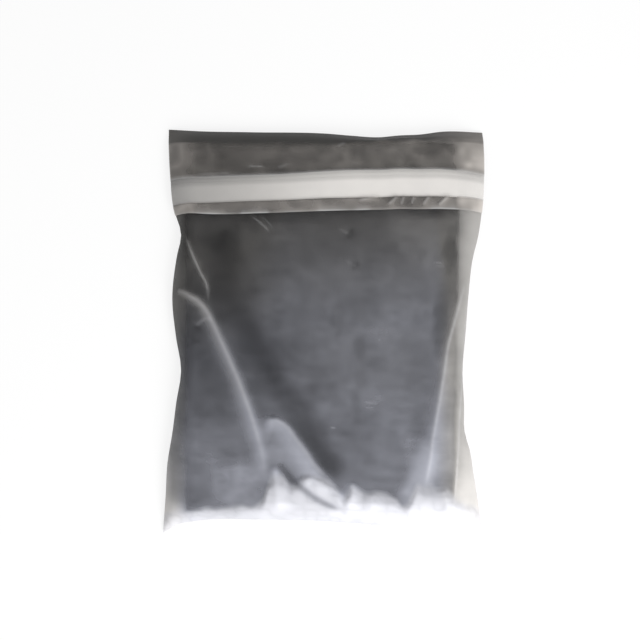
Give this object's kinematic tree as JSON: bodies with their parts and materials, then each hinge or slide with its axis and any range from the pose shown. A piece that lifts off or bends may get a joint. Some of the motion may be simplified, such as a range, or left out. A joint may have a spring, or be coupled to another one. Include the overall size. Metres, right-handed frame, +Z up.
{
  "type": "poly mailer bag",
  "caption": "Frosted film mailing bag lying flat, shut by its folded flap with a lined adhesive strip, and filled with dark folded soft goods that show through.",
  "frame": {"origin": "on the floor under the middle of the bag, which lies on its back", "axes": "+Y towards the top fold and flap, +Z up out of the front panel, +X to the right as the front is seen"},
  "size_m": [0.2567, 0.3246, 0.0299],
  "materials": {
    "frosted_film": "frosted, half clear polyethylene film with a soft sheen",
    "adhesive": "clear tacky adhesive film",
    "liner": "smooth white release liner",
    "dark_cloth": "matt dark cloth"
  },
  "bodies": {
    "root": {"bag_film": "frosted_film", "adhesive_strip": "adhesive", "release_liner": "liner", "folded_contents": "dark_cloth"}
  },
  "joints": []
}
